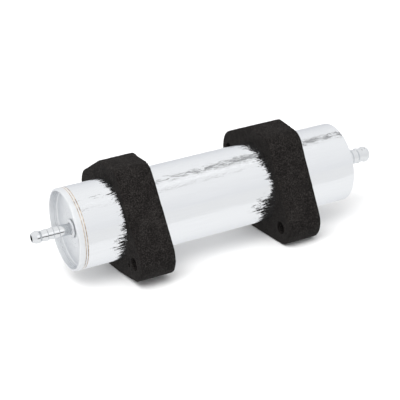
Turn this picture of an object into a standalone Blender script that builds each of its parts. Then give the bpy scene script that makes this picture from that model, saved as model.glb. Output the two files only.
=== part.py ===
"""In-line canister filter, lying on its two foam-rubber mounts.

The canister's axis runs along X.  The recessed cover with the small stub is at -X and the
closed end with the large stub is at +X.  The origin is on the surface that the mounts rest
on, under the middle of the whole part.  All sizes are in metres.
"""
import math

import bmesh
import bpy

# --- Driving dimensions -------------------------------------------------------------------
CAN_RADIUS = 0.0275
CAN_LENGTH = 0.2028
CAN_WALL = 0.0009
CAN_END_WALL = 0.0014
GAP = 0.0003

SMALL_STUB_REACH = 0.0222
LARGE_STUB_REACH = 0.0275
SMALL_NECK_RADIUS = 0.0037
LARGE_NECK_RADIUS = 0.0048
SMALL_FLANGE_RADIUS = 0.0080
LARGE_FLANGE_RADIUS = 0.0090
FLANGE = 0.0016
FLAT_SEAL = 0.0010
LOCK_RING = 0.0012

COVER_EDGE = 0.0041
SEAM_BEAD_WIDTH = 0.0013
RECESS_DEPTH = 0.0055
COVER_FLOOR = 0.0020
SKIRT_END = 0.0130
SEAL_GROOVE_WIDTH = 0.0020
SEAL_GROOVE_DEPTH = 0.0013
SEAL_GROOVE_PLACE = 0.0009

MOUNT_THICKNESS = 0.0243
FRONT_MOUNT_FACE = 0.0323
REAR_MOUNT_FACE = 0.1405
FRONT_MOUNT_TURN = math.radians(23.2)
MOUNT_HOLE_RADIUS = 0.0045
MOUNT_HOLE_OUT = 0.0392
MOUNT_HOLE_DROP = 0.0061
# The mount's outline is a belt round five circles: centre out, centre up, radius.
RIGHT_CROWN = (0.0196, 0.0279, 0.0048)
LEFT_CROWN = (-0.0032, 0.0299, 0.0127)
LEFT_LUG = (-0.0325, -0.0048, 0.0167)
KEEL = (0.0, -0.0158, 0.0230)
RIGHT_LUG = (0.0325, -0.0048, 0.0167)

ELEMENT_RADIUS = 0.0245
ELEMENT_START = 0.0240
ELEMENT_END = 0.1812
PLEAT_COUNT = 42
PLEAT_ROOT = 0.0098
PLEAT_TIP = 0.0230
PAPER = 0.0004
SHEET_STEEL = 0.0007
SPRING_WIRE_RADIUS = 0.0009
SPRING_RADIUS = 0.0130
SPRING_TURNS = 4.5

COARSE = 32
FINE = 64
STUB_STEPS = 24

# --- Derived places -----------------------------------------------------------------------


def belt_normal(first, second):
    """Angle of the outward normal of the straight run from one circle to the next."""
    out = second[0] - first[0]
    up = second[1] - first[1]
    run = math.hypot(out, up)
    return math.atan2(up, out) - math.pi / 2 + math.asin((first[2] - second[2]) / run)


# The rear mount lies flat on its lower left side, and that side's height sets the axis.
REST_NORMAL = belt_normal(LEFT_LUG, KEEL)
REAR_MOUNT_TURN = (-math.pi / 2 - REST_NORMAL) % math.tau
AXIS_Z = KEEL[2] - KEEL[1] * math.cos(REAR_MOUNT_TURN)


def lug_reach(lug, turn):
    """How far sideways of the axis a lug's tip circle centre stands when turned."""
    return lug[0] * math.cos(turn) - lug[1] * math.sin(turn)


FAR_SIDE = lug_reach(RIGHT_LUG, FRONT_MOUNT_TURN) + RIGHT_LUG[2]
NEAR_SIDE = lug_reach(LEFT_LUG, FRONT_MOUNT_TURN) - LEFT_LUG[2]
AXIS_Y = -(FAR_SIDE + NEAR_SIDE) / 2
RIM_X = -(CAN_LENGTH + LARGE_STUB_REACH - SMALL_STUB_REACH) / 2

CAN_START = COVER_EDGE + SEAM_BEAD_WIDTH + 2 * GAP
CAN_BORE = CAN_RADIUS - CAN_WALL
SKIRT_RADIUS = CAN_BORE - GAP
SKIRT_BORE = SKIRT_RADIUS - 0.0023
CUP_FLOOR = 0.0008
CUP_LIP = 0.0006
CUP_DEPTH = 0.0055
POTTING = 0.0016
TUBE_RADIUS = 0.0088
COLLAR_RADIUS = 0.0084
GROMMET_RADIUS = 0.0072
SPIGOT_RADIUS = 0.0050


# --- Scene helpers ------------------------------------------------------------------------
def clear_scene():
    for obj in list(bpy.data.objects):
        bpy.data.objects.remove(obj, do_unlink=True)


def collection(name):
    found = bpy.data.collections.new(name)
    bpy.context.scene.collection.children.link(found)
    return found


def material(name, colour, roughness, metallic):
    """A plain Principled finish."""
    made = bpy.data.materials.new(name)
    made.use_nodes = True
    shader = made.node_tree.nodes["Principled BSDF"]
    shader.inputs["Base Color"].default_value = (*colour, 1.0)
    shader.inputs["Roughness"].default_value = roughness
    shader.inputs["Metallic"].default_value = metallic
    return made


def link_piece(name, mesh, finish, group):
    mesh.name = name
    piece = bpy.data.objects.new(name, mesh)
    mesh.materials.append(finish)
    group.objects.link(piece)
    return piece


def lay_along_x(piece):
    """Turn a piece built up its own Z so that it lies on the canister's axis."""
    piece.location = (RIM_X, AXIS_Y, AXIS_Z)
    piece.rotation_euler = (0.0, math.pi / 2, 0.0)


def turned(name, profile, finish, group, steps=COARSE, closed=True):
    """Spin a profile of (radius, distance from the cover's rim) round the axis.

    The profile runs down its outer side, from the far end to the near one."""
    mesh = bpy.data.meshes.new(name)
    edges = [(i, i + 1) for i in range(len(profile) - 1)]
    if closed:
        edges.append((len(profile) - 1, 0))
    mesh.from_pydata([(radius, 0.0, along) for radius, along in profile], edges, [])
    piece = link_piece(name, mesh, finish, group)
    screw = piece.modifiers.new("spin", "SCREW")
    screw.axis = "Z"
    screw.angle = math.tau
    screw.steps = steps
    screw.render_steps = steps
    screw.use_merge_vertices = True
    screw.merge_threshold = 0.00001
    screw.use_smooth_shade = True
    lay_along_x(piece)
    return piece


def ring(inner, outer, start, end):
    """Profile of a plain ring with square edges."""
    return [(outer, end), (outer, start), (inner, start), (inner, end)]


def quarter(centre, radius, first, count=3):
    """A quarter turn of arc points, running clockwise from the first angle."""
    points = []
    for step in range(count + 1):
        angle = first - step * math.pi / 2 / count
        points.append((centre[0] + radius * math.cos(angle), centre[1] + radius * math.sin(angle)))
    return points


def mesh_from(piece):
    """The evaluated, welded mesh of a curve or of an object with modifiers."""
    ready = piece.evaluated_get(bpy.context.evaluated_depsgraph_get())
    mesh = bpy.data.meshes.new_from_object(ready)
    shape = bmesh.new()
    shape.from_mesh(mesh)
    bmesh.ops.remove_doubles(shape, verts=shape.verts, dist=0.000001)
    bmesh.ops.recalc_face_normals(shape, faces=shape.faces)
    shape.to_mesh(mesh)
    shape.free()
    return mesh


# --- Housing ------------------------------------------------------------------------------
def housing_can(finish, group):
    """Deep-drawn can: open at the cover, with a hole in its closed end for the large stub."""
    hole = LARGE_NECK_RADIUS + GAP
    corner = 0.0008
    inside = CAN_LENGTH - CAN_END_WALL
    profile = [(hole, CAN_LENGTH)]
    profile += quarter((CAN_RADIUS - corner, CAN_LENGTH - corner), corner, math.pi / 2)
    profile += [(CAN_RADIUS, CAN_START), (CAN_BORE, CAN_START)]
    profile += [(CAN_BORE, inside - corner), (CAN_BORE - corner, inside), (hole, inside)]
    return turned("housing_can", profile, finish, group, FINE)


def end_cover(finish, group):
    """Turned cover: a raised rim, a recessed floor and a skirt that enters the can."""
    corner = 0.0012
    rim_bore = CAN_RADIUS - 0.0016
    floor_bore = rim_bore - 0.0006
    hole = SMALL_NECK_RADIUS + GAP
    back = RECESS_DEPTH + COVER_FLOOR
    groove_start = back + SEAL_GROOVE_PLACE
    groove_end = groove_start + SEAL_GROOVE_WIDTH
    groove_floor = SKIRT_RADIUS - SEAL_GROOVE_DEPTH
    profile = [(SKIRT_RADIUS - 0.0005, SKIRT_END), (SKIRT_RADIUS, SKIRT_END - 0.0005)]
    profile += [(SKIRT_RADIUS, groove_end), (groove_floor, groove_end)]
    profile += [(groove_floor, groove_start), (SKIRT_RADIUS, groove_start)]
    profile += [(SKIRT_RADIUS, COVER_EDGE), (CAN_RADIUS, COVER_EDGE)]
    profile += quarter((CAN_RADIUS - corner, corner), corner, 0.0)
    profile += [(rim_bore + 0.0002, 0.0), (rim_bore, 0.0002)]
    profile += [(floor_bore, RECESS_DEPTH - 0.0008), (floor_bore - 0.0008, RECESS_DEPTH)]
    profile += [(hole, RECESS_DEPTH), (hole, back)]
    profile += [(SKIRT_BORE, back), (SKIRT_BORE, SKIRT_END)]
    return turned("end_cover", profile, finish, group, FINE)


def cover_seal_ring(finish, group):
    """Square-section seal in the skirt's groove, against the can's bore."""
    start = RECESS_DEPTH + COVER_FLOOR + SEAL_GROOVE_PLACE + GAP
    end = start + SEAL_GROOVE_WIDTH - 2 * GAP
    inner = SKIRT_RADIUS - SEAL_GROOVE_DEPTH + GAP
    return turned("cover_seal_ring", ring(inner, CAN_BORE - GAP, start, end), finish, group, FINE)


def cover_seam_bead(finish, group):
    """Narrow band that closes the seam between the cover's edge and the can's lip."""
    start = COVER_EDGE + GAP
    end = start + SEAM_BEAD_WIDTH
    middle = (start + end) / 2
    outer = CAN_RADIUS - 0.00008
    inner = SKIRT_RADIUS + GAP
    profile = [(outer, end), (CAN_RADIUS, middle), (outer, start), (inner, start), (inner, end)]
    return turned("cover_seam_bead", profile, finish, group, FINE)


# --- Hose stubs ---------------------------------------------------------------------------
def small_stub(finish, group):
    """Barbed outlet stub with a bead at its tip, an inner flange and a spigot for the element.

    The outside runs back from the tip, and each ridge faces the tip with its ramp."""
    tip = -SMALL_STUB_REACH
    neck = SMALL_NECK_RADIUS
    bead = 0.0042
    bore = 0.0022
    flange = RECESS_DEPTH + COVER_FLOOR + 2 * GAP + FLAT_SEAL
    spigot_end = ELEMENT_START - 0.0012
    outside = [(neck - 0.0007, 0.0), (bead - 0.0002, 0.0022), (bead, 0.0030), (bead, 0.0048)]
    outside += [(bead - 0.0003, 0.0056), (neck - 0.00015, 0.0062)]
    for tooth in range(3):
        root = 0.0088 + tooth * 0.0039
        outside += [(neck - 0.00015, root - 0.0018), (neck + 0.00035, root + 0.0012)]
        outside += [(neck + 0.00035, root + 0.0016), (neck - 0.00015, root + 0.0019)]
    outside += [(neck, 0.0190)]
    profile = [(SPIGOT_RADIUS - 0.0006, spigot_end), (SPIGOT_RADIUS, spigot_end - 0.0006)]
    profile += [(SPIGOT_RADIUS, flange + FLANGE), (SMALL_FLANGE_RADIUS, flange + FLANGE)]
    profile += [(SMALL_FLANGE_RADIUS, flange), (neck, flange)]
    profile += [(radius, tip + back) for radius, back in reversed(outside)]
    profile += [(bore, tip), (bore, spigot_end)]
    return turned("outlet_stub", profile, finish, group, STUB_STEPS)


def large_stub(finish, group):
    """Barbed inlet stub with an inner flange behind the can's closed end."""
    tip = CAN_LENGTH + LARGE_STUB_REACH
    neck = LARGE_NECK_RADIUS
    crest = neck + 0.0007
    bore = 0.0034
    flange = CAN_LENGTH - CAN_END_WALL - 2 * GAP - FLAT_SEAL
    outside = [(neck - 0.0008, 0.0), (crest - 0.0002, 0.0018), (crest, 0.0026), (crest, 0.0036)]
    outside += [(neck, 0.0042)]
    for tooth in range(3):
        root = 0.0060 + tooth * 0.0045
        outside += [(neck, root), (crest, root + 0.0024), (crest, root + 0.0030)]
        outside += [(neck, root + 0.0034)]
    profile = [(radius, tip - back) for radius, back in outside]
    profile += [(neck, flange), (LARGE_FLANGE_RADIUS, flange)]
    profile += [(LARGE_FLANGE_RADIUS, flange - FLANGE), (bore, flange - FLANGE), (bore, tip)]
    return turned("inlet_stub", profile, finish, group, STUB_STEPS)


def stub_fittings(rubber, metal, group):
    """A flat seal under each stub's flange, and a lock ring outside each wall."""
    inset = 0.0002
    back = RECESS_DEPTH + COVER_FLOOR + GAP
    small = SMALL_NECK_RADIUS + GAP
    washer = ring(small, SMALL_FLANGE_RADIUS - inset, back, back + FLAT_SEAL)
    turned("outlet_stub_seal", washer, rubber, group)
    back = RECESS_DEPTH - GAP
    front = back - LOCK_RING
    outer = SMALL_NECK_RADIUS + 0.0026
    lock = [(outer, back), (outer, (back + front) / 2), (outer - 0.0007, front)]
    lock += [(small, front), (small, back)]
    turned("outlet_stub_ring", lock, metal, group)

    inside = CAN_LENGTH - CAN_END_WALL - GAP
    large = LARGE_NECK_RADIUS + GAP
    washer = ring(large, LARGE_FLANGE_RADIUS - inset, inside - FLAT_SEAL, inside)
    turned("inlet_stub_seal", washer, rubber, group)
    face = CAN_LENGTH + GAP
    end = face + LOCK_RING
    outer = LARGE_NECK_RADIUS + 0.0026
    lock = [(large, end), (outer - 0.0006, end), (outer, (face + end) / 2)]
    lock += [(outer, face), (large, face)]
    turned("inlet_stub_ring", lock, metal, group)


# --- Filter element -----------------------------------------------------------------------
def open_end_disc(finish, group):
    """Shallow cup over the pleats' near end, with a collar that holds the grommet."""
    start = ELEMENT_START
    inner = COLLAR_RADIUS - 0.0006
    lip = ELEMENT_RADIUS - CUP_LIP
    profile = [(ELEMENT_RADIUS, start + CUP_DEPTH), (ELEMENT_RADIUS, start)]
    profile += [(COLLAR_RADIUS, start), (COLLAR_RADIUS, start - 0.0068)]
    profile += [(inner, start - 0.0068), (inner, start + CUP_FLOOR)]
    profile += [(lip, start + CUP_FLOOR), (lip, start + CUP_DEPTH)]
    return turned("open_end_disc", profile, finish, group)


def closed_end_disc(finish, group):
    """Shallow cup over the pleats' far end, whole across its middle."""
    end = ELEMENT_END
    lip = ELEMENT_RADIUS - CUP_LIP
    profile = [(0.0, end), (ELEMENT_RADIUS, end), (ELEMENT_RADIUS, end - CUP_DEPTH)]
    profile += [(lip, end - CUP_DEPTH), (lip, end - CUP_FLOOR), (0.0, end - CUP_FLOOR)]
    return turned("closed_end_disc", profile, finish, group, closed=False)


def potting_rings(finish, group):
    """The adhesive beds between each cup and the pleats."""
    outer = ELEMENT_RADIUS - CUP_LIP - GAP
    near = ELEMENT_START + CUP_FLOOR + GAP
    turned("open_end_potting", ring(0.0092, outer, near, near + POTTING), finish, group)
    far = ELEMENT_END - CUP_FLOOR - GAP
    turned("closed_end_potting", ring(0.0092, outer, far - POTTING, far), finish, group)


def pleat_pack(finish, group):
    """Filter paper folded into a star round the centre tube."""
    start = ELEMENT_START + CUP_FLOOR + 2 * GAP + POTTING
    end = ELEMENT_END - CUP_FLOOR - 2 * GAP - POTTING
    fold = math.tau / PLEAT_COUNT
    bends = ((0.03, PLEAT_ROOT), (0.42, PLEAT_TIP), (0.58, PLEAT_TIP), (0.97, PLEAT_ROOT))
    star = []
    for pleat in range(PLEAT_COUNT):
        for share, radius in bends:
            angle = (pleat + share) * fold
            star.append((radius * math.cos(angle), radius * math.sin(angle)))
    count = len(star)
    verts = [(x, y, start) for x, y in star] + [(x, y, end) for x, y in star]
    faces = []
    for i in range(count):
        after = (i + 1) % count
        faces.append((i, after, count + after, count + i))
    mesh = bpy.data.meshes.new("pleat_pack")
    mesh.from_pydata(verts, [], faces)
    piece = link_piece("pleat_pack", mesh, finish, group)
    wall = piece.modifiers.new("paper", "SOLIDIFY")
    wall.thickness = PAPER
    wall.offset = 0.0
    lay_along_x(piece)
    return piece


def pleat_clip(finish, group):
    """Pressed strip along the pleats' outside that holds the paper's seam."""
    clearance = 0.0020
    width = 0.0032
    start = ELEMENT_START + CUP_DEPTH + clearance
    end = ELEMENT_END - CUP_DEPTH - clearance
    base = PLEAT_TIP + PAPER + GAP
    bpy.ops.mesh.primitive_cube_add(size=1.0)
    piece = bpy.context.object
    piece.name = "pleat_clip"
    piece.data.name = "pleat_clip"
    for vert in piece.data.vertices:
        vert.co.x = RIM_X + (start + end) / 2 + vert.co.x * (end - start)
        vert.co.y = AXIS_Y + vert.co.y * width
        vert.co.z = AXIS_Z + base + (vert.co.z + 0.5) * SHEET_STEEL
    piece.data.materials.append(finish)
    for owner in list(piece.users_collection):
        owner.objects.unlink(piece)
    group.objects.link(piece)
    return piece


def centre_tube(finish, group):
    """Steel tube with rows of staggered windows, inside the pleats."""
    start = ELEMENT_START + CUP_FLOOR + 2 * GAP + POTTING
    end = ELEMENT_END - CUP_FLOOR - 2 * GAP - POTTING
    around = 16
    rows = 17
    shape = bmesh.new()
    grid = []
    for row in range(rows + 1):
        along = start + (end - start) * row / rows
        line = []
        for column in range(around):
            angle = math.tau * column / around
            place = (TUBE_RADIUS * math.cos(angle), TUBE_RADIUS * math.sin(angle), along)
            line.append(shape.verts.new(place))
        grid.append(line)
    for row in range(rows):
        for column in range(around):
            is_window = row % 2 == 1 and (column + row) % 4 in (0, 1)
            if is_window:
                continue
            after = (column + 1) % around
            near = (grid[row][column], grid[row][after])
            far = (grid[row + 1][after], grid[row + 1][column])
            shape.faces.new(near + far)
    mesh = bpy.data.meshes.new("centre_tube")
    shape.to_mesh(mesh)
    shape.free()
    piece = link_piece("centre_tube", mesh, finish, group)
    wall = piece.modifiers.new("sheet", "SOLIDIFY")
    wall.thickness = SHEET_STEEL
    wall.offset = -1.0
    lay_along_x(piece)
    return piece


def outlet_grommet(finish, group):
    """Rubber sleeve between the open disc's collar and the outlet stub's spigot."""
    inner = SPIGOT_RADIUS + GAP
    outer = COLLAR_RADIUS - 0.0006 - GAP
    start = ELEMENT_START - 0.0078
    lip = GROMMET_RADIUS + 0.0016
    stop = start + 0.0007
    profile = [(outer, ELEMENT_START), (outer, stop), (lip, stop), (lip, start), (inner, start)]
    profile += [(inner, ELEMENT_START)]
    return turned("outlet_grommet", profile, finish, group)


def element_spring(finish, group):
    """Compression spring, its end coils closed, that presses the element towards the cover."""
    wire = SPRING_WIRE_RADIUS
    closed_turns = 0.75
    start = ELEMENT_END + 2 * GAP + SHEET_STEEL + wire
    length = CAN_LENGTH - CAN_END_WALL - GAP - wire - start
    open_pitch = (length - 4 * wire * closed_turns) / (SPRING_TURNS - 2 * closed_turns)
    count = 60
    curve = bpy.data.curves.new("element_spring", "CURVE")
    curve.dimensions = "3D"
    curve.bevel_depth = wire
    curve.bevel_resolution = 2
    curve.use_fill_caps = True
    line = curve.splines.new("POLY")
    line.points.add(count - 1)
    for i in range(count):
        turned_by = SPRING_TURNS * i / (count - 1)
        last_closed = max(turned_by - SPRING_TURNS + closed_turns, 0.0)
        in_closed = min(turned_by, closed_turns) + last_closed
        along = start + 2 * wire * in_closed + open_pitch * (turned_by - in_closed)
        angle = math.tau * turned_by
        across = SPRING_RADIUS * math.cos(angle)
        line.points[i].co = (across, SPRING_RADIUS * math.sin(angle), along, 1.0)
    piece = bpy.data.objects.new("element_spring", curve)
    curve.materials.append(finish)
    group.objects.link(piece)
    lay_along_x(piece)
    return piece


def spring_seat(finish, group):
    """Pressed ring that centres the spring on the closed disc."""
    start = ELEMENT_END + GAP
    seat = ring(SPRING_RADIUS - 0.0030, SPRING_RADIUS + 0.0020, start, start + SHEET_STEEL)
    return turned("spring_seat", seat, finish, group)


# --- Foam-rubber mounts -------------------------------------------------------------------
def belt_outline():
    """Points of the mount's outline: five arcs joined by straight runs."""
    circles = (RIGHT_CROWN, LEFT_CROWN, LEFT_LUG, KEEL, RIGHT_LUG)
    points = []
    for i, circle in enumerate(circles):
        first = belt_normal(circles[i - 1], circle)
        last = belt_normal(circle, circles[(i + 1) % len(circles)])
        sweep = (last - first) % math.tau
        count = max(3, round(sweep / math.radians(9)))
        for step in range(count + 1):
            angle = first + sweep * step / count
            out = circle[0] + circle[2] * math.cos(angle)
            points.append((out, circle[1] + circle[2] * math.sin(angle)))
    return points


def circle_points(out, up, radius, count):
    """Points round a circle."""
    angles = [math.tau * i / count for i in range(count)]
    return [(out + radius * math.cos(a), up + radius * math.sin(a)) for a in angles]


def foam_mount(name, face, turn, finish, group):
    """One block: a bore for the can and a stud hole through each lug."""
    curve = bpy.data.curves.new(name, "CURVE")
    curve.dimensions = "2D"
    curve.fill_mode = "BOTH"
    curve.extrude = MOUNT_THICKNESS / 2
    loops = [belt_outline(), circle_points(0.0, 0.0, CAN_RADIUS + GAP, FINE)]
    for side in (-1, 1):
        loops.append(circle_points(side * MOUNT_HOLE_OUT, -MOUNT_HOLE_DROP, MOUNT_HOLE_RADIUS, 16))
    for points in loops:
        line = curve.splines.new("POLY")
        line.points.add(len(points) - 1)
        line.use_cyclic_u = True
        for place, (out, up) in zip(line.points, points):
            across = out * math.cos(turn) - up * math.sin(turn)
            height = out * math.sin(turn) + up * math.cos(turn)
            place.co = (across, height, 0.0, 1.0)
    outline = bpy.data.objects.new(name + "_outline", curve)
    group.objects.link(outline)
    mesh = mesh_from(outline)
    bpy.data.objects.remove(outline, do_unlink=True)
    piece = link_piece(name, mesh, finish, group)
    piece.location = (RIM_X + face + MOUNT_THICKNESS / 2, AXIS_Y, AXIS_Z)
    piece.rotation_euler = (math.pi / 2, 0.0, math.pi / 2)
    return piece


def settle_on_surface(mount, cutters):
    """Press a small bearing flat into a mount's keel where it stands on the surface."""
    depth = 0.010
    bpy.ops.mesh.primitive_cube_add(size=1.0)
    block = bpy.context.object
    block.name = "surface_cutter"
    for vert in block.data.vertices:
        vert.co.x = mount.location.x + vert.co.x * 2 * MOUNT_THICKNESS
        vert.co.y = AXIS_Y + vert.co.y * 0.12
        vert.co.z = (vert.co.z - 0.5) * depth
    for owner in list(block.users_collection):
        owner.objects.unlink(block)
    cutters.objects.link(block)
    block.hide_render = True
    block.display_type = "WIRE"
    cut = mount.modifiers.new("bearing flat", "BOOLEAN")
    cut.operation = "DIFFERENCE"
    cut.solver = "EXACT"
    cut.object = block


# --- Assembly -----------------------------------------------------------------------------
def smooth_round_pieces(group):
    """Shade the turned pieces smooth, with their edges kept crisp."""
    for piece in group.objects:
        if piece.type != "MESH":
            continue
        piece.data.shade_smooth()
        piece.data.set_sharp_from_angle(angle=math.radians(35))


def build():
    clear_scene()
    group = collection("inline_filter")
    cutters = collection("cutters")
    aluminium = material("bright_aluminium", (0.82, 0.83, 0.85), 0.22, 1.0)
    steel = material("plated_steel", (0.62, 0.62, 0.60), 0.35, 1.0)
    rubber = material("seal_rubber", (0.03, 0.03, 0.03), 0.6, 0.0)
    foam = material("foam_rubber", (0.035, 0.032, 0.030), 0.9, 0.0)
    paper = material("filter_paper", (0.80, 0.66, 0.38), 0.85, 0.0)
    adhesive = material("adhesive", (0.72, 0.68, 0.58), 0.5, 0.0)

    housing_can(aluminium, group)
    end_cover(aluminium, group)
    cover_seal_ring(rubber, group)
    cover_seam_bead(aluminium, group)
    small_stub(aluminium, group)
    large_stub(aluminium, group)
    stub_fittings(rubber, aluminium, group)

    open_end_disc(steel, group)
    closed_end_disc(steel, group)
    potting_rings(adhesive, group)
    pleat_pack(paper, group)
    pleat_clip(steel, group)
    centre_tube(steel, group)
    outlet_grommet(rubber, group)
    element_spring(steel, group)
    spring_seat(steel, group)

    front = foam_mount("front_mount", FRONT_MOUNT_FACE, FRONT_MOUNT_TURN, foam, group)
    foam_mount("rear_mount", REAR_MOUNT_FACE, REAR_MOUNT_TURN, foam, group)
    settle_on_surface(front, cutters)
    smooth_round_pieces(group)


build()
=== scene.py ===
"""Looks for an in-line canister filter: a bright aluminium body, turned ends and foam mounts.

Each visible part has its own operator in the Inline Filter tab of the 3D view's sidebar.
The canister's axis runs along X, the recessed cover is at -X, and the floor is at Z = 0.
"""

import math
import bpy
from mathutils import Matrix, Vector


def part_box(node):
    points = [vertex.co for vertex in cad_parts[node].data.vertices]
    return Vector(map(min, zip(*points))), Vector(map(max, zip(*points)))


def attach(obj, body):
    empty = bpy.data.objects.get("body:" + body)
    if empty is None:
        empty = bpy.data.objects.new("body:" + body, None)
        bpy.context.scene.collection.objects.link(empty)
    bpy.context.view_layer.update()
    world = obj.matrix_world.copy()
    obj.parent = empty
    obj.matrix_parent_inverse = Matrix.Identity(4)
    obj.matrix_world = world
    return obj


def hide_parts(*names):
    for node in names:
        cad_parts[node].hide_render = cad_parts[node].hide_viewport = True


bl_info = {
    "name": "Inline Filter",
    "version": (1, 0, 0),
    "blender": (4, 5, 0),
    "location": "View3D > Sidebar > Inline Filter",
    "description": "Builds an in-line canister filter with barbed stubs and foam mounts",
    "category": "Object",
}

import bpy
from mathutils import Matrix, Vector

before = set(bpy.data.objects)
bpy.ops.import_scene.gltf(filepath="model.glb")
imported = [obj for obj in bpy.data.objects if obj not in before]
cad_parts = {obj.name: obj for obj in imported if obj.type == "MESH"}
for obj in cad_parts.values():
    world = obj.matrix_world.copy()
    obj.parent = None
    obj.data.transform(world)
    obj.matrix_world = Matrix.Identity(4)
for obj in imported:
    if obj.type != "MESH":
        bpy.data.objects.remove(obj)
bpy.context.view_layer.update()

# --- Places read from the frame -----------------------------------------------------------
COVER_LOW, COVER_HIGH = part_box("end_cover")
CAN_LOW, CAN_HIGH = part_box("housing_can")
SMALL_STUB_LOW, SMALL_STUB_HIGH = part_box("outlet_stub")
LARGE_STUB_LOW, LARGE_STUB_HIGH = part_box("inlet_stub")
FRONT_LOW, FRONT_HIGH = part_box("front_mount")
REAR_LOW, REAR_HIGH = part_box("rear_mount")

RIM_X = COVER_LOW.x
AXIS_Y = (CAN_LOW.y + CAN_HIGH.y) / 2
AXIS_Z = (CAN_LOW.z + CAN_HIGH.z) / 2
CAN_END = CAN_HIGH.x - RIM_X
SMALL_TIP = SMALL_STUB_LOW.x - RIM_X
LARGE_TIP = LARGE_STUB_HIGH.x - RIM_X

# --- Fixed sizes --------------------------------------------------------------------------
BODY_SIDES = 192
STUB_SIDES = 96
GAP = 0.0003
FLOOR_GAP = 0.0002
EDGE = 0.0002
CUT_OVERRUN = 0.02
METAL_TINT = (0.80, 0.81, 0.83, 1.0)


# --- Settings a user would change ---------------------------------------------------------
def length(label, text, value):
    """A length that the sidebar shows in the scene's units."""
    return bpy.props.FloatProperty(name=label, description=text, default=value, unit="LENGTH", precision=5)


def angle(label, text, degrees):
    """A turn about the canister's axis."""
    return bpy.props.FloatProperty(
        name=label, description=text, default=math.radians(degrees), subtype="ANGLE", unit="ROTATION"
    )


def circle(label, text, value):
    """A circle of the mount's outline: centre sideways, centre up and radius."""
    return bpy.props.FloatVectorProperty(
        name=label, description=text, default=value, size=3, unit="LENGTH", precision=5
    )


def colour(label, text, value):
    """A linear colour."""
    return bpy.props.FloatVectorProperty(
        name=label, description=text, default=value, size=3, subtype="COLOR", min=0.0, max=1.0
    )


class CanisterSizes(bpy.types.PropertyGroup):
    """Sizes of the metal body. Lengths along the axis run from the cover's rim."""

    radius: length("Radius", "Outer radius of the can and cover", (CAN_HIGH.z - CAN_LOW.z) / 2)
    wall: length("Wall", "Thickness of the can's wall", 0.0009)
    end_wall: length("End wall", "Thickness of the can's closed end", 0.0014)
    corner: length("End corner", "Rounding of the can's closed end", 0.0010)
    lip_start: length("Can lip", "Where the can starts behind the cover", CAN_LOW.x - RIM_X)
    cover_edge: length("Cover edge", "Where the cover's outer surface stops", 0.0041)
    rim: length("Rim", "Width of the cover's rim", 0.0016)
    rim_corner: length("Rim corner", "Rounding of the cover's outer edge", 0.0012)
    recess: length("Recess", "Depth of the cover's floor below its rim", 0.0055)
    floor: length("Floor", "Thickness of the cover's floor", 0.0020)
    skirt_end: length("Skirt", "Where the cover's skirt ends inside the can", COVER_HIGH.x - RIM_X)
    sealant: length("Sealant line", "Width of each line of sealant beside the seam's bead", 0.00045)


class StubSizes(bpy.types.PropertyGroup):
    """Sizes of the two hose stubs."""

    small_neck: length("Small neck", "Radius of the small stub between its ridges", 0.0037)
    small_bore: length("Small bore", "Radius of the small stub's bore", 0.0022)
    small_bead: length("Small bead", "Radius of the small stub's end bead", 0.0042)
    large_neck: length("Large neck", "Radius of the large stub between its barbs", 0.0048)
    large_bore: length("Large bore", "Radius of the large stub's bore", 0.0034)
    large_crest: length("Large crest", "Radius of the large stub's barbs", 0.0055)


class MountSizes(bpy.types.PropertyGroup):
    """Sizes of the two equal foam mounts."""

    right_crown: circle("Right crown", "Crisp corner over the raised lug", (0.0196, 0.0279, 0.0048))
    left_crown: circle("Left crown", "Round corner of the crown", (-0.00035, 0.02915, 0.01075))
    left_lug: circle("Left lug", "Round end of the left lug", (-0.03487, -0.00501, 0.01536))
    keel: circle("Keel", "Round underside", (0.0, -0.0158, 0.0230))
    right_lug: circle("Right lug", "Round end of the right lug", (0.0325, -0.0048, 0.0167))
    front_turn: angle("Front turn", "Turn of the front mount about the canister", 23.2)
    rear_turn: angle("Rear turn", "Turn of the rear mount about the canister", 29.279)
    hole_out: length("Stud hole out", "Distance of each stud hole sideways of the axis", 0.0392)
    hole_drop: length("Stud hole drop", "Distance of each stud hole below the axis", 0.0061)
    hole_radius: length("Stud hole radius", "Radius of each stud hole", 0.0045)
    bore_gap: length("Bore gap", "Gap between the foam and the can", 0.00008)
    grain: length("Mesh grain", "Size of the foam's mesh cells", 0.00065)


class Finishes(bpy.types.PropertyGroup):
    """Colours of the finishes."""

    aluminium: colour("Aluminium", "Drawn aluminium of the can", (0.785, 0.80, 0.82))
    turned: colour("Turned aluminium", "Turned aluminium of the cover and stubs", (0.71, 0.725, 0.74))
    sealant: colour("Sealant", "Brown sealant in the seam", (0.23, 0.15, 0.09))
    foam: colour("Foam", "Charcoal foam rubber", (0.0088, 0.0076, 0.0072))
    foam_light: colour("Worn foam", "Lighter specks of the foam", (0.027, 0.0245, 0.023))
    seal: colour("Seal rubber", "Black moulded rubber", (0.018, 0.018, 0.019))
    steel: colour("Plated steel", "Zinc-plated steel inside", (0.60, 0.60, 0.58))
    paper: colour("Filter paper", "Resin-treated paper", (0.76, 0.60, 0.31))
    adhesive: colour("Adhesive", "Cured potting adhesive", (0.66, 0.60, 0.47))
    floor: colour("Floor", "Pale studio floor", (0.80, 0.80, 0.80))


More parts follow.
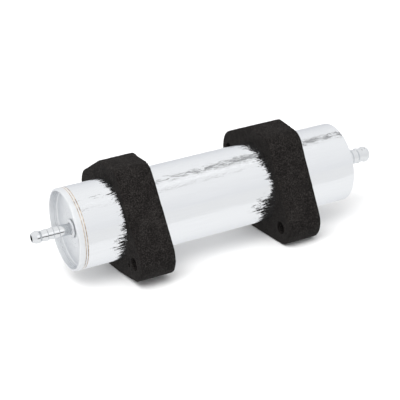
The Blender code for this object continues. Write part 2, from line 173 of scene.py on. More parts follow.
class StageSettings(bpy.types.PropertyGroup):
    """Camera and light."""

    lens: bpy.props.FloatProperty(name="Lens", description="Focal length in millimetres", default=117.5)
    camera_at: bpy.props.FloatVectorProperty(
        name="Camera", description="Place of the camera", default=(-0.34560, -0.75170, 0.33840), size=3,
        unit="LENGTH", precision=4,
    )
    camera_aim: bpy.props.FloatVectorProperty(
        name="Aim", description="Where the camera looks", default=(-0.00614, -0.00121, 0.03341), size=3,
        unit="LENGTH", precision=4,
    )
    camera_roll: angle("Roll", "Turn of the camera about its line of sight", -5.43)
    sky: bpy.props.FloatProperty(name="Sky", description="Strength of the even light all round", default=1.0)
    key: bpy.props.FloatProperty(name="Key", description="Power of the soft key light in watts", default=27.0)
    key_size: length("Key size", "Side of the square key light", 1.45)
    key_at: bpy.props.FloatVectorProperty(
        name="Key place", description="Place of the key light", default=(-0.60, -0.65, 1.40), size=3,
        unit="LENGTH", precision=4,
    )


GROUPS = {
    "filter_canister": CanisterSizes,
    "filter_stubs": StubSizes,
    "filter_mounts": MountSizes,
    "filter_finishes": Finishes,
    "filter_stage": StageSettings,
}


# --- Modelling helpers --------------------------------------------------------------------
def deselect():
    """Leave edit mode and select nothing."""
    if bpy.context.object and bpy.context.object.mode != "OBJECT":
        bpy.ops.object.mode_set(mode="OBJECT")
    bpy.ops.object.select_all(action="DESELECT")


def activate(piece):
    """Select one object only and make it active."""
    deselect()
    piece.select_set(True)
    bpy.context.view_layer.objects.active = piece


def settle(piece, name):
    """Name a piece and put its place into its mesh."""
    activate(piece)
    piece.name = name
    piece.data.name = name
    bpy.ops.object.transform_apply(location=True, rotation=True, scale=True)
    return piece


def apply_modifiers(piece):
    """Apply every modifier in order."""
    activate(piece)
    for modifier in list(piece.modifiers):
        bpy.ops.object.modifier_apply(modifier=modifier.name)


def smooth(piece, degrees=35):
    """Shade smooth, with edges sharper than the angle kept crisp."""
    activate(piece)
    bpy.ops.object.shade_smooth_by_angle(angle=math.radians(degrees))


def arc(centre, radius, start, end, count):
    """Profile points round an arc, from one angle to another in degrees.

    A centre is (radius from the axis, distance along it); 0 degrees points away from the axis
    and 90 degrees along it."""
    points = []
    for step in range(count + 1):
        at = math.radians(start + (end - start) * step / count)
        points.append((centre[0] + radius * math.cos(at), centre[1] + radius * math.sin(at)))
    return points


def turn_ring(name, profile, sides):
    """Draw a ring at the profile's first point and extrude it from point to point.

    The profile is a closed list of (radius, distance along the axis from the cover's rim)."""
    deselect()
    radius, along = profile[0]
    bpy.ops.mesh.primitive_circle_add(
        vertices=sides,
        radius=radius,
        fill_type="NOTHING",
        location=(RIM_X + along, AXIS_Y, AXIS_Z),
        rotation=(0.0, math.pi / 2, 0.0),
    )
    piece = settle(bpy.context.object, name)
    bpy.ops.object.mode_set(mode="EDIT")
    bpy.ops.mesh.select_all(action="SELECT")
    for next_radius, next_along in profile[1:] + profile[:1]:
        step = (next_along - along, 0.0, 0.0)
        bpy.ops.mesh.extrude_region_move(TRANSFORM_OT_translate={"value": step})
        grow = next_radius / radius
        middle = (RIM_X + next_along, AXIS_Y, AXIS_Z)
        bpy.ops.transform.resize(value=(1.0, grow, grow), center_override=middle)
        radius, along = next_radius, next_along
    bpy.ops.mesh.select_all(action="SELECT")
    bpy.ops.mesh.remove_doubles(threshold=0.000002)
    bpy.ops.mesh.normals_make_consistent(inside=False)
    bpy.ops.object.mode_set(mode="OBJECT")
    smooth(piece)
    return piece


def rod(radius, depth, middle, sides=96):
    """A cylinder along X, used as a stock shape or a cutter."""
    deselect()
    bpy.ops.mesh.primitive_cylinder_add(
        vertices=sides, radius=radius, depth=depth, location=middle, rotation=(0.0, math.pi / 2, 0.0)
    )
    return bpy.context.object


def cut(piece, cutter):
    """Subtract a cutter and remove it."""
    modifier = piece.modifiers.new("cut", "BOOLEAN")
    modifier.operation = "DIFFERENCE"
    modifier.solver = "EXACT"
    modifier.object = cutter
    apply_modifiers(piece)
    bpy.data.objects.remove(cutter, do_unlink=True)


def place(piece, body, material, slot, *nodes):
    """Give a piece its finish, its body and the frame nodes that it stands for."""
    if not piece.data.polygons:
        raise RuntimeError(piece.name + " has no faces")
    piece.data.materials.clear()
    piece.data.materials.append(material)
    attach(piece, body)
    if nodes:
        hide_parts(*nodes)


# --- Materials ----------------------------------------------------------------------------
class Shader:
    """A Principled material with short calls for the nodes that feed it."""

    def __init__(self, name, base, roughness, metallic):
        self.material = bpy.data.materials.new(name)
        self.material.use_nodes = True
        self.nodes = self.material.node_tree.nodes
        self.links = self.material.node_tree.links
        self.surface = self.nodes["Principled BSDF"]
        self.surface.inputs["Base Color"].default_value = (*base, 1.0)
        self.surface.inputs["Roughness"].default_value = roughness
        self.surface.inputs["Metallic"].default_value = metallic
        if metallic > 0.0:
            self.surface.inputs["Specular Tint"].default_value = METAL_TINT
        coordinates = self.nodes.new("ShaderNodeTexCoord")
        centre = self.nodes.new("ShaderNodeVectorMath")
        centre.operation = "SUBTRACT"
        centre.inputs[1].default_value = (0.0, AXIS_Y, AXIS_Z)
        self.links.new(coordinates.outputs["Object"], centre.inputs[0])
        self.place = centre.outputs[0]

    def stretched(self, scale):
        """Object coordinates about the axis, stretched by a scale for each axis."""
        node = self.nodes.new("ShaderNodeVectorMath")
        node.operation = "MULTIPLY"
        node.inputs[1].default_value = scale
        self.links.new(self.place, node.inputs[0])
        return node.outputs[0]

    def ring_distance(self):
        """Distance from the canister's axis."""
        flat = self.stretched((0.0, 1.0, 1.0))
        node = self.nodes.new("ShaderNodeVectorMath")
        node.operation = "LENGTH"
        self.links.new(flat, node.inputs[0])
        return node.outputs["Value"]

    def noise(self, vector, scale, detail=2.0, roughness=0.5, distortion=0.0):
        """Cloudy noise from 0 to 1 at a place."""
        node = self.nodes.new("ShaderNodeTexNoise")
        node.inputs["Scale"].default_value = scale
        node.inputs["Detail"].default_value = detail
        node.inputs["Roughness"].default_value = roughness
        node.inputs["Distortion"].default_value = distortion
        self.links.new(vector, node.inputs["Vector"])
        return node.outputs["Fac"]

    def ring_noise(self, scale, detail=2.0):
        """Noise that changes only with the distance from the axis, as turning marks do."""
        node = self.nodes.new("ShaderNodeTexNoise")
        node.noise_dimensions = "1D"
        node.inputs["Scale"].default_value = scale
        node.inputs["Detail"].default_value = detail
        self.links.new(self.ring_distance(), node.inputs["W"])
        return node.outputs["Fac"]

    def ramp(self, value, *stops):
        """Turn a 0 to 1 value into colours; each stop is (position, colour)."""
        node = self.nodes.new("ShaderNodeValToRGB")
        ramp = node.color_ramp
        while len(ramp.elements) < len(stops):
            ramp.elements.new(0.5)
        for element, (position, shade) in zip(ramp.elements, stops):
            element.position = position
            element.color = (*shade, 1.0)
        self.links.new(value, node.inputs["Fac"])
        return node.outputs["Color"]

    def span(self, value, low, high):
        """Map a 0 to 1 value to a range."""
        node = self.nodes.new("ShaderNodeMapRange")
        node.inputs["To Min"].default_value = low
        node.inputs["To Max"].default_value = high
        self.links.new(value, node.inputs["Value"])
        return node.outputs["Result"]

    def bump(self, height, distance, before=None):
        """Normal raised by a height, on top of an earlier normal if there is one."""
        node = self.nodes.new("ShaderNodeBump")
        node.inputs["Distance"].default_value = distance
        self.links.new(height, node.inputs["Height"])
        if before is not None:
            self.links.new(before, node.inputs["Normal"])
        return node.outputs["Normal"]

    def lean(self, value, amount):
        """Normal that leans along the canister's axis, one way or the other about the value 0.5."""
        offset = self.nodes.new("ShaderNodeMapRange")
        offset.inputs["To Min"].default_value = -amount / 2
        offset.inputs["To Max"].default_value = amount / 2
        self.links.new(value, offset.inputs["Value"])
        along = self.nodes.new("ShaderNodeCombineXYZ")
        self.links.new(offset.outputs["Result"], along.inputs["X"])
        surface = self.nodes.new("ShaderNodeNewGeometry")
        total = self.nodes.new("ShaderNodeVectorMath")
        total.operation = "ADD"
        self.links.new(surface.outputs["Normal"], total.inputs[0])
        self.links.new(along.outputs["Vector"], total.inputs[1])
        unit = self.nodes.new("ShaderNodeVectorMath")
        unit.operation = "NORMALIZE"
        self.links.new(total.outputs[0], unit.inputs[0])
        return unit.outputs[0]

    def feed(self, socket, value):
        """Link a value to one of the surface's inputs."""
        self.links.new(value, self.surface.inputs[socket])


def mixed(base, factor):
    """A colour multiplied by a factor."""
    return tuple(min(1.0, part * factor) for part in base)


def drawn_aluminium(finishes):
    """Bright drawn can: fine lengthwise draw lines, each leaning a little along the axis."""
    shader = Shader("drawn_aluminium", finishes.aluminium, 0.13, 1.0)
    lines = shader.noise(shader.stretched((40.0, 850.0, 850.0)), 1.0, 3.0, 0.6)
    bristles = shader.noise(shader.stretched((170.0, 1000.0, 1000.0)), 1.0, 3.0, 0.8)
    waves = shader.noise(shader.stretched((14.0, 60.0, 60.0)), 1.0, 2.0, 0.5)
    base = finishes.aluminium
    shader.feed("Base Color", shader.ramp(lines, (0.3, mixed(base, 0.985)), (0.7, mixed(base, 1.01))))
    shader.feed("Roughness", shader.span(lines, 0.12, 0.17))
    normal = shader.lean(bristles, 1.05)
    normal = shader.bump(waves, 0.00010, before=normal)
    normal = shader.bump(lines, 0.00002, before=normal)
    shader.feed("Normal", normal)
    return shader.material


def turned_aluminium(finishes):
    """Turned cover: faint rings about the axis."""
    shader = Shader("turned_aluminium", finishes.turned, 0.3, 0.75)
    rings = shader.ring_noise(2600.0, 3.0)
    smudge = shader.noise(shader.place, 240.0, 3.0)
    base = finishes.turned
    shader.feed("Base Color", shader.ramp(smudge, (0.3, mixed(base, 0.95)), (0.7, base)))
    shader.feed("Roughness", shader.span(rings, 0.24, 0.36))
    shader.feed("Normal", shader.bump(rings, 0.00001))
    return shader.material


def polished_aluminium(finishes):
    """Polished stubs: nearly a mirror, with faint rings along them."""
    shader = Shader("polished_aluminium", finishes.turned, 0.1, 1.0)
    rings = shader.noise(shader.stretched((2200.0, 40.0, 40.0)), 1.0, 2.0)
    shader.feed("Roughness", shader.span(rings, 0.06, 0.15))
    shader.feed("Normal", shader.bump(rings, 0.000006))
    return shader.material


def brown_sealant(finishes):
    """Thin line of brown sealant, slightly broken."""
    shader = Shader("brown_sealant", finishes.sealant, 0.5, 0.0)
    patches = shader.noise(shader.place, 420.0, 2.0)
    base = finishes.sealant
    shader.feed("Base Color", shader.ramp(patches, (0.35, base), (0.62, (0.62, 0.52, 0.40))))
    return shader.material


def charcoal_foam(finishes):
    """Closed-cell foam rubber: matt, mottled, with fine cells and small pits."""
    shader = Shader("charcoal_foam", finishes.foam, 0.95, 0.0)
    cells = shader.noise(shader.place, 1400.0, 2.0, 0.6)
    mottle = shader.noise(shader.place, 160.0, 3.0, 0.6)
    pits = shader.nodes.new("ShaderNodeTexVoronoi")
    pits.inputs["Scale"].default_value = 900.0
    shader.links.new(shader.place, pits.inputs["Vector"])
    blend = shader.nodes.new("ShaderNodeMath")
    blend.operation = "MULTIPLY_ADD"
    blend.inputs[1].default_value = 0.20
    shader.links.new(mottle, blend.inputs[0])
    shader.links.new(shader.span(cells, 0.0, 0.80), blend.inputs[2])
    shade = shader.ramp(
        blend.outputs[0],
        (0.38, mixed(finishes.foam, 0.35)),
        (0.50, finishes.foam),
        (0.62, finishes.foam_light),
    )
    shader.feed("Base Color", shade)
    shader.surface.inputs["Specular IOR Level"].default_value = 0.12
    normal = shader.bump(mottle, 0.0004)
    normal = shader.bump(pits.outputs["Distance"], 0.0002, before=normal)
    normal = shader.bump(cells, 0.0003, before=normal)
    shader.feed("Normal", normal)
    return shader.material


def moulded_rubber(finishes):
    """Moulded black rubber."""
    shader = Shader("moulded_rubber", finishes.seal, 0.55, 0.0)
    grain = shader.noise(shader.place, 2500.0, 2.0)
    shader.feed("Roughness", shader.span(grain, 0.45, 0.70))
    shader.feed("Normal", shader.bump(grain, 0.00003))
    return shader.material


def zinc_plate(finishes):
    """Zinc-plated pressed steel with a faint spangle."""
    shader = Shader("zinc_plate", finishes.steel, 0.35, 1.0)
    spangle = shader.noise(shader.place, 380.0, 3.0)
    base = finishes.steel
    shader.feed("Base Color", shader.ramp(spangle, (0.35, mixed(base, 0.85)), (0.65, mixed(base, 1.08))))
    shader.feed("Roughness", shader.span(spangle, 0.28, 0.45))
    return shader.material


def treated_paper(finishes):
    """Resin-treated paper: fibrous, slightly uneven."""
    shader = Shader("treated_paper", finishes.paper, 0.85, 0.0)
    fibres = shader.noise(shader.stretched((700.0, 2600.0, 2600.0)), 1.0, 4.0, 0.7)
    base = finishes.paper
    shader.feed("Base Color", shader.ramp(fibres, (0.3, mixed(base, 0.82)), (0.7, mixed(base, 1.1))))
    shader.feed("Normal", shader.bump(fibres, 0.00005))
    return shader.material


def cured_adhesive(finishes):
    """Potting adhesive with a faint flow pattern."""
    shader = Shader("cured_adhesive", finishes.adhesive, 0.45, 0.0)
    flow = shader.noise(shader.place, 260.0, 2.0, 0.5, 1.5)
    base = finishes.adhesive
    shader.feed("Base Color", shader.ramp(flow, (0.3, mixed(base, 0.88)), (0.7, mixed(base, 1.08))))
    shader.feed("Normal", shader.bump(flow, 0.00006))
    return shader.material


MAKERS = {
    "drawn_aluminium": drawn_aluminium,
    "turned_aluminium": turned_aluminium,
    "polished_aluminium": polished_aluminium,
    "brown_sealant": brown_sealant,
    "charcoal_foam": charcoal_foam,
    "moulded_rubber": moulded_rubber,
    "zinc_plate": zinc_plate,
    "treated_paper": treated_paper,
    "cured_adhesive": cured_adhesive,
}


def finish(name):
    """A finish by name, made the first time that it is asked for."""
    return bpy.data.materials.get(name) or MAKERS[name](bpy.context.scene.filter_finishes)


# --- Canister -----------------------------------------------------------------------------
class FILTER_OT_can(bpy.types.Operator):
    """Model the drawn can with its rounded closed end and its hole for the large stub"""

    bl_idname = "filter.can"
    bl_label = "Can"

    def execute(self, context):
        sizes = context.scene.filter_canister
        hole = context.scene.filter_stubs.large_neck + GAP
        bore = sizes.radius - sizes.wall
        inside = CAN_END - sizes.end_wall
        inner_corner = 0.0008
        hole_edge = 0.0001
        lip = 0.00025
        start = sizes.lip_start
        profile = arc((sizes.radius - sizes.corner, CAN_END - sizes.corner), sizes.corner, 90, 0, 8)
        profile += arc((sizes.radius - lip, start + lip), lip, 0, -90, 4)
        profile += [(bore, start), (bore, inside - inner_corner), (bore - inner_corner, inside)]
        profile += [(hole, inside), (hole, CAN_END - hole_edge), (hole + hole_edge, CAN_END)]
        can = turn_ring("drawn_can", profile, BODY_SIDES)
        place(can, "canister", finish("drawn_aluminium"), "bright_aluminium", "housing_can")
        return {"FINISHED"}


class FILTER_OT_cover(bpy.types.Operator):
    """Model the recessed cover with its rim, floor, seal groove and skirt"""

    bl_idname = "filter.cover"
    bl_label = "Cover"

    def execute(self, context):
        sizes = context.scene.filter_canister
        hole = context.scene.filter_stubs.small_neck + GAP
        skirt = sizes.radius - sizes.wall - GAP
        skirt_bore = skirt - 0.0023
        skirt_edge = 0.0005
        rim_bore = sizes.radius - sizes.rim
        rim_edge = 0.0003
        recess_wall = rim_bore - 0.0006
        back = sizes.recess + sizes.floor
        groove = back + 0.0009
        groove_end = groove + 0.0020
        groove_floor = skirt - 0.0013
        lip = 0.00025
        fillet = 0.0009
        profile = [(skirt, sizes.skirt_end - skirt_edge), (skirt, groove_end), (groove_floor, groove_end)]
        profile += [(groove_floor, groove), (skirt, groove), (skirt, sizes.cover_edge)]
        profile += arc((sizes.radius - lip, sizes.cover_edge - lip), lip, 90, 0, 4)
        profile += arc((sizes.radius - sizes.rim_corner, sizes.rim_corner), sizes.rim_corner, 0, -90, 10)
        profile += arc((rim_bore + rim_edge, rim_edge), rim_edge, -90, -180, 4)
        profile += arc((recess_wall - fillet, sizes.recess - fillet), fillet, 0, 90, 8)
        profile += [(hole + EDGE, sizes.recess), (hole, sizes.recess + EDGE), (hole, back)]
        profile += [(skirt_bore, back), (skirt_bore, sizes.skirt_end)]
        profile += [(skirt - skirt_edge, sizes.skirt_end)]
        cover = turn_ring("recessed_cover", profile, BODY_SIDES)
        place(cover, "canister", finish("turned_aluminium"), "bright_aluminium", "end_cover")
        return {"FINISHED"}


class FILTER_OT_seam(bpy.types.Operator):
    """Model the seam: a bright bead between two thin lines of sealant"""

    bl_idname = "filter.seam"
    bl_label = "Seam"

    def execute(self, context):
        sizes = context.scene.filter_canister
        hair = 0.00003
        inner = sizes.radius - 0.0010
        start = sizes.cover_edge + sizes.sealant
        end = sizes.lip_start - sizes.sealant
        half = (end - start) / 2
        bulge = half * 0.35
        shoulder = sizes.radius - bulge
        steps = 8
        profile = [(inner, end), (shoulder, end)]
        for step in range(1, steps):
            at = math.pi * step / steps
            profile.append((shoulder + bulge * math.sin(at), start + half + half * math.cos(at)))
        profile += [(shoulder, start), (inner, start)]
        bead = turn_ring("seam_bead", profile, BODY_SIDES)
        place(bead, "canister", finish("turned_aluminium"), "bright_aluminium", "cover_seam_bead")
        outer = sizes.radius - 0.00012
        side = outer - 0.00008
        for name, low, high in (
            ("sealant_line_cover", sizes.cover_edge + hair, start - hair),
            ("sealant_line_can", end + hair, sizes.lip_start - hair),
        ):
            middle = (low + high) / 2
            line = [(side, high), (outer, middle), (side, low)]
            line += [(inner, low), (inner, high)]
            piece = turn_ring(name, line, BODY_SIDES)
            place(piece, "canister", finish("brown_sealant"), "adhesive")
        return {"FINISHED"}


# --- Hose stubs ---------------------------------------------------------------------------
def barb(neck, crest, start, ramp, top, fall):
    """A ridge that rises away from the tip, with a rounded crest; distances run back from it."""
    soft = (crest - neck) * 0.18
    points = [(neck, start), (neck + (crest - neck) * 0.55, start + ramp * 0.6)]
    points += [(crest - soft, start + ramp * 0.93), (crest, start + ramp + top * 0.25)]
    points += [(crest, start + ramp + top * 0.75), (crest - soft, start + ramp + top)]
    points += [(neck + soft, start + ramp + top + fall), (neck, start + ramp + top + fall + soft)]
    return points


class FILTER_OT_small_stub(bpy.types.Operator):
    """Model the small stub with its end bead, three ridges and the lock ring at its base"""

    bl_idname = "filter.small_stub"
    bl_label = "Small stub"

    def execute(self, context):
        sizes = context.scene.filter_stubs
        canister = context.scene.filter_canister
        neck = sizes.small_neck
        bead = sizes.small_bead
        flange = canister.recess + canister.floor + 0.0016
        flange_end = flange + 0.0016
        flange_radius = 0.0080
        spigot = 0.0050
        spigot_edge = 0.0006
        end = SMALL_STUB_HIGH.x - RIM_X
        waist = neck - 0.00015
        ridge = neck + 0.00035
        first, spacing = 0.0070, 0.0039
        outside = [(sizes.small_bore + EDGE, 0.0), (bead - 0.0013, 0.0), (bead - 0.0010, 0.0002)]
        outside += [(bead - 0.00045, 0.0016), (bead - 0.00015, 0.0024), (bead, 0.0031)]
        outside += [(bead, 0.0044), (bead - 0.0001, 0.0050), (bead - 0.0003, 0.0055)]
        outside += [(neck - 0.0001, 0.0061), (waist, 0.0066)]
        for tooth in range(3):
            outside += barb(waist, ridge, first + tooth * spacing, 0.0030, 0.0004, 0.0003)
        outside += [(neck, 0.0190)]
        profile = [(sizes.small_bore, SMALL_TIP + EDGE)]
        profile += [(radius, SMALL_TIP + back) for radius, back in outside]
        profile += [(neck, flange), (flange_radius, flange), (flange_radius, flange_end)]
        profile += [(spigot, flange_end), (spigot, end - spigot_edge), (spigot - spigot_edge, end)]
        profile += [(sizes.small_bore, end)]
        stub = turn_ring("small_barbed_stub", profile, STUB_SIDES)
        place(stub, "canister", finish("polished_aluminium"), "bright_aluminium", "outlet_stub")

        inner = neck + GAP
        outer = neck + 0.0026
        back = canister.recess - GAP
        front = back - 0.0012
        corner = 0.0007
        ring = [(inner, back), (outer, back)]
        ring += arc((outer - corner, front + corner), corner, 0, -90, 5)
        ring += [(inner + EDGE, front), (inner, front + EDGE)]
        piece = turn_ring("small_stub_lock_ring", ring, STUB_SIDES)
        place(piece, "canister", finish("turned_aluminium"), "bright_aluminium", "outlet_stub_ring")
        return {"FINISHED"}


class FILTER_OT_large_stub(bpy.types.Operator):
    """Model the large stub with its four barbs and the lock ring at its base"""

    bl_idname = "filter.large_stub"
    bl_label = "Large stub"

    def execute(self, context):
        sizes = context.scene.filter_stubs
        neck = sizes.large_neck
        crest = sizes.large_crest
        flange = LARGE_STUB_LOW.x - RIM_X
        flange_end = flange + 0.0016
        flange_radius = 0.0090
        first, spacing = 0.0060, 0.0045
        outside = [(sizes.large_bore + EDGE, 0.0), (neck - 0.0009, 0.0), (neck - 0.0005, 0.0003)]
        outside += [(neck + 0.0003, 0.0014), (crest - 0.00012, 0.0021), (crest, 0.0027)]
        outside += [(crest, 0.0034), (crest - 0.0001, 0.0038), (neck + 0.0001, 0.0043), (neck, 0.0046)]
        for tooth in range(3):
            outside += barb(neck, crest, first + tooth * spacing, 0.0024, 0.0006, 0.0004)
        profile = [(sizes.large_bore, LARGE_TIP - EDGE)]
        profile += [(radius, LARGE_TIP - back) for radius, back in outside]
        profile += [(neck, flange_end), (flange_radius, flange_end), (flange_radius, flange)]
        profile += [(sizes.large_bore, flange)]
        stub = turn_ring("large_barbed_stub", profile, STUB_SIDES)
        place(stub, "canister", finish("polished_aluminium"), "bright_aluminium", "inlet_stub")

        inner = neck + GAP
        outer = neck + 0.0026
        face = CAN_END + GAP
        end = face + 0.0012
        corner = 0.0006
        ring = [(inner, face), (outer, face)]
        ring += arc((outer - corner, end - corner), corner, 0, 90, 5)
        ring += [(inner + EDGE, end), (inner, end - EDGE)]
        piece = turn_ring("large_stub_lock_ring", ring, STUB_SIDES)
        place(piece, "canister", finish("turned_aluminium"), "bright_aluminium", "inlet_stub_ring")
        return {"FINISHED"}


# --- Foam mounts --------------------------------------------------------------------------
def across(out, up, turn):
    """Place (y, z) of a point of the mount's outline when the mount is turned on the canister."""
    return (
        AXIS_Y + out * math.cos(turn) - up * math.sin(turn),
        AXIS_Z + out * math.sin(turn) + up * math.cos(turn),
    )


def foam_texture(name, size):
    """Cloud texture for the foam's unevenness."""
    texture = bpy.data.textures.new(name, "CLOUDS")
    texture.noise_scale = size
    texture.noise_depth = 2
    return texture


def foam_block(name, mount, low, high, turn, pit=None):
    """One mount: a hull round five rods, rounded, given the foam's uneven skin, then bored.

    It fills the frame's box for the mount from face to face. A pit is (out, up, radius, depth)
    in the face nearer the cover."""
    sizes = bpy.context.scene.filter_mounts
    face = low.x
    thickness = high.x - low.x
    middle = face + thickness / 2
    circles = (sizes.right_crown, sizes.left_crown, sizes.left_lug, sizes.keel, sizes.right_lug)
    rods = []
    for out, up, radius in circles:
        y, z = across(out, up, turn)
        rods.append(rod(radius, thickness, (middle, y, z), 128))
    deselect()
    for piece in rods:
        piece.select_set(True)
    bpy.context.view_layer.objects.active = rods[0]
    bpy.ops.object.join()
    block = settle(bpy.context.object, name)
    bpy.ops.object.mode_set(mode="EDIT")
    bpy.ops.mesh.select_all(action="SELECT")
    bpy.ops.mesh.convex_hull()
    bpy.ops.mesh.normals_make_consistent(inside=False)
    bpy.ops.object.mode_set(mode="OBJECT")
    deselect()
    slab = 0.2
    bpy.ops.mesh.primitive_cube_add(size=slab, location=(middle, 0.0, FLOOR_GAP - slab / 2))
    cut(block, bpy.context.object)

    remesh = block.modifiers.new("cells", "REMESH")
    remesh.mode = "VOXEL"
    remesh.voxel_size = sizes.grain
    soften = block.modifiers.new("soften", "SMOOTH")
    soften.factor = 0.5
    soften.iterations = 2
    for label, scale, strength in (("dents", 0.016, 0.00035), ("skin", 0.0022, 0.00025)):
        uneven = block.modifiers.new(label, "DISPLACE")
        uneven.texture = foam_texture(name + "_" + label, scale)
        uneven.texture_coords = "LOCAL"
        uneven.mid_level = 0.55
        uneven.strength = strength
    apply_modifiers(block)

    through = thickness + CUT_OVERRUN
    radius = bpy.context.scene.filter_canister.radius + sizes.bore_gap
    cut(block, rod(radius, through, (middle, AXIS_Y, AXIS_Z), BODY_SIDES))
    for side in (-1, 1):
        y, z = across(side * sizes.hole_out, -sizes.hole_drop, turn)
        cut(block, rod(sizes.hole_radius, through, (middle, y, z), 64))
    if pit is not None:
        out, up, radius, depth = pit
        y, z = across(out, up, turn)
        cut(block, rod(radius, 2 * depth, (face, y, z), 32))
    smooth(block, 50)
    place(block, mount, finish("charcoal_foam"), "foam_rubber", mount)


class FILTER_OT_front_mount(bpy.types.Operator):
    """Model the foam mount nearest the cover, with a small pit beside its near stud hole"""

    bl_idname = "filter.front_mount"
    bl_label = "Front mount"

    def execute(self, context):
        turn = context.scene.filter_mounts.front_turn
        pit = (-0.0323, -0.0132, 0.0015, 0.0025)
        foam_block("front_foam_block", "front_mount", FRONT_LOW, FRONT_HIGH, turn, pit)
        return {"FINISHED"}


class FILTER_OT_rear_mount(bpy.types.Operator):
    """Model the foam mount nearer the closed end"""

    bl_idname = "filter.rear_mount"
    bl_label = "Rear mount"

    def execute(self, context):
        turn = context.scene.filter_mounts.rear_turn
        foam_block("rear_foam_block", "rear_mount", REAR_LOW, REAR_HIGH, turn)
        return {"FINISHED"}


# --- Inside -------------------------------------------------------------------------------
INNER_FINISHES = {
    "moulded_rubber": ("cover_seal_ring", "outlet_stub_seal", "inlet_stub_seal", "outlet_grommet"),
    "zinc_plate": (
        "open_end_disc",
        "closed_end_disc",
        "centre_tube",
        "pleat_clip",
        "element_spring",
        "spring_seat",
    ),
    "treated_paper": ("pleat_pack",),
    "cured_adhesive": ("open_end_potting", "closed_end_potting"),
}


class FILTER_OT_inside(bpy.types.Operator):
    """Give the element, seals and spring inside the canister their finishes"""

    bl_idname = "filter.inside"
    bl_label = "Inside"

    def execute(self, context):
        for name, nodes in INNER_FINISHES.items():
            for node in nodes:
                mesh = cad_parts[node].data
                mesh.materials.clear()
                mesh.materials.append(finish(name))
        return {"FINISHED"}


# --- Stage --------------------------------------------------------------------------------
def pale_floor(floor_colour):
    """Matt pale floor."""
    material = bpy.data.materials.new("pale_floor")
    material.use_nodes = True
    surface = material.node_tree.nodes["Principled BSDF"]
    surface.inputs["Base Color"].default_value = (*floor_colour, 1.0)
    surface.inputs["Roughness"].default_value = 0.9
    surface.inputs["Specular IOR Level"].default_value = 0.1
    return material


def soft_light(name, power, size, at, aim):
    """A square area light pointed at a place."""
    deselect()
    bpy.ops.object.light_add(type="AREA", location=at)
    light = bpy.context.object
    light.name = name
    light.data.energy = power
    light.data.shape = "SQUARE"
    light.data.size = size
    light.rotation_euler = (Vector(aim) - Vector(at)).to_track_quat("-Z", "Y").to_euler()
    return light


def glow(name, radiance):
    """Plain emitting finish for a card."""
    material = bpy.data.materials.new(name)
    material.use_nodes = True
    surface = material.node_tree.nodes["Principled BSDF"]
    surface.inputs["Base Color"].default_value = (0.0, 0.0, 0.0, 1.0)
    surface.inputs["Specular IOR Level"].default_value = 0.0
    surface.inputs["Emission Color"].default_value = (1.0, 1.0, 1.0, 1.0)
    surface.inputs["Emission Strength"].default_value = radiance
    return material


def card(name, start, end, radiance, upright=False):
    """A card seen only in reflections. Each end is (x, y, z, width); upright cards stand on edge."""
    deselect()
    bpy.ops.mesh.primitive_plane_add(size=1.0)
    piece = bpy.context.object
    piece.name = name
    first, last = Vector(start[:3]), Vector(end[:3])
    for vertex in piece.data.vertices:
        at, width = (first, start[3]) if vertex.co.x < 0 else (last, end[3])
        side = vertex.co.y * width
        vertex.co = at + Vector((0.0, 0.0, side) if upright else (0.0, side, 0.0))
    piece.data.materials.append(glow(name, radiance))
    piece.visible_camera = False
    piece.visible_diffuse = False
    piece.visible_shadow = False
    piece.visible_transmission = False
    piece.visible_volume_scatter = False


# Each card: name, start (x, y, z, width), end (x, y, z, width), radiance, upright.
# The strips give the grey streaks along the can's top and the edge the bright line below them.
# The stub cards show only in the small stub. The floor cards are the floor as the metal sees it.
CARDS = (
    ("strip_middle", (0.34, 0.060, 1.06, 0.12), (0.52, 0.060, 1.06, 0.42), 0.25, False),
    ("strip_rear", (0.56, 0.180, 1.06, 0.36), (0.74, 0.330, 1.06, 0.36), 0.25, False),
    ("strip_front", (0.25, -0.640, 1.06, 0.16), (0.32, -0.500, 1.06, 0.24), 0.25, False),
    ("bright_edge", (0.26, -0.400, 1.07, 0.22), (0.41, -0.120, 1.07, 0.08), 1.35, False),
    ("stub_line", (-0.1235, -0.022, 0.0335, 0.005), (-0.1048, -0.022, 0.0335, 0.005), 0.02, True),
    ("stub_shine", (-0.1235, -0.022, 0.0482, 0.0155), (-0.1048, -0.022, 0.0482, 0.0155), 1.3, True),
    ("floor_far", (-3.0, 0.0, 0.0002, 6.0), (3.0, 0.0, 0.0002, 6.0), 0.98, False),
    ("floor_near", (-0.6, 0.160, 0.0004, 0.48), (0.6, 0.160, 0.0004, 0.48), 1.08, False),
)


def sky_light(strength):
    """Even white light, slightly brighter overhead than at eye level."""
    world = bpy.data.worlds.new("studio")
    bpy.context.scene.world = world
    world.use_nodes = True
    nodes, links = world.node_tree.nodes, world.node_tree.links
    background = nodes["Background"]
    background.inputs["Strength"].default_value = strength
    coordinates = nodes.new("ShaderNodeTexCoord")
    parts = nodes.new("ShaderNodeSeparateXYZ")
    links.new(coordinates.outputs["Generated"], parts.inputs[0])
    height = nodes.new("ShaderNodeMapRange")
    height.inputs["From Min"].default_value = -0.2
    links.new(parts.outputs["Z"], height.inputs["Value"])
    ramp = nodes.new("ShaderNodeValToRGB")
    ramp.color_ramp.elements[0].color = (0.93, 0.935, 0.95, 1.0)
    ramp.color_ramp.elements[1].color = (1.08, 1.08, 1.08, 1.0)
    links.new(height.outputs["Result"], ramp.inputs["Fac"])
    links.new(ramp.outputs["Color"], background.inputs["Color"])


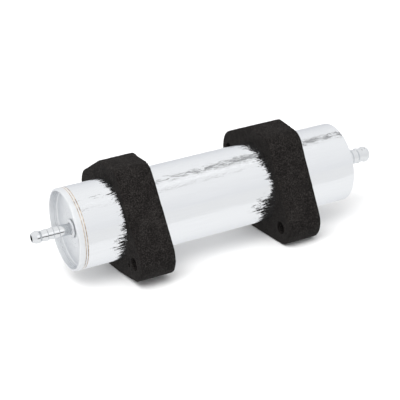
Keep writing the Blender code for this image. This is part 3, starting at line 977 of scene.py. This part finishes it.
class FILTER_OT_stage(bpy.types.Operator):
    """Set the pale floor, the soft studio light and the camera"""

    bl_idname = "filter.stage"
    bl_label = "Stage"

    def execute(self, context):
        stage = context.scene.filter_stage
        context.scene.view_settings.view_transform = "Standard"
        deselect()
        bpy.ops.object.camera_add(location=stage.camera_at)
        camera = bpy.context.object
        camera.name = "camera"
        camera.data.lens = stage.lens
        camera.data.sensor_width = 36.0
        sight = Vector(stage.camera_aim) - Vector(stage.camera_at)
        level = sight.to_track_quat("-Z", "Y").to_matrix().to_4x4()
        roll = Matrix.Rotation(stage.camera_roll, 4, "Z")
        camera.matrix_world = Matrix.Translation(stage.camera_at) @ level @ roll
        context.scene.camera = camera

        deselect()
        bpy.ops.mesh.primitive_plane_add(size=8.0, location=(0.0, 0.0, 0.0))
        floor = bpy.context.object
        floor.name = "studio_floor"
        floor.data.materials.append(pale_floor(context.scene.filter_finishes.floor))

        sky_light(stage.sky)
        aim = (0.0, 0.0, 0.04)
        key = soft_light("key_light", stage.key, stage.key_size, stage.key_at, aim)
        key.visible_glossy = False
        for settings in CARDS:
            card(*settings)
        return {"FINISHED"}


# --- Sidebar and registration -------------------------------------------------------------
PIECE_OPERATORS = (
    FILTER_OT_can,
    FILTER_OT_cover,
    FILTER_OT_seam,
    FILTER_OT_small_stub,
    FILTER_OT_large_stub,
    FILTER_OT_front_mount,
    FILTER_OT_rear_mount,
    FILTER_OT_inside,
)


class FILTER_PT_panel(bpy.types.Panel):
    """Lists the filter's operators and settings"""

    bl_idname = "FILTER_PT_panel"
    bl_label = "Inline Filter"
    bl_space_type = "VIEW_3D"
    bl_region_type = "UI"
    bl_category = "Inline Filter"

    def draw(self, context):
        layout = self.layout
        layout.operator(FILTER_OT_stage.bl_idname)
        for operator in PIECE_OPERATORS:
            layout.operator(operator.bl_idname)
        for name, group in GROUPS.items():
            box = layout.box()
            for setting in group.__annotations__:
                box.prop(getattr(context.scene, name), setting)


CLASSES = (*GROUPS.values(), FILTER_OT_stage, *PIECE_OPERATORS, FILTER_PT_panel)


def register():
    """Add the settings, the operators and the panel."""
    for cls in CLASSES:
        bpy.utils.register_class(cls)
    for name, group in GROUPS.items():
        setattr(bpy.types.Scene, name, bpy.props.PointerProperty(type=group))


def unregister():
    """Take them away again."""
    for name in GROUPS:
        delattr(bpy.types.Scene, name)
    for cls in reversed(CLASSES):
        bpy.utils.unregister_class(cls)


def main():
    """Build the stage and every piece."""
    register()
    bpy.ops.filter.stage()
    bpy.ops.filter.can()
    bpy.ops.filter.cover()
    bpy.ops.filter.seam()
    bpy.ops.filter.small_stub()
    bpy.ops.filter.large_stub()
    bpy.ops.filter.front_mount()
    bpy.ops.filter.rear_mount()
    bpy.ops.filter.inside()


if __name__ == "__main__":
    main()
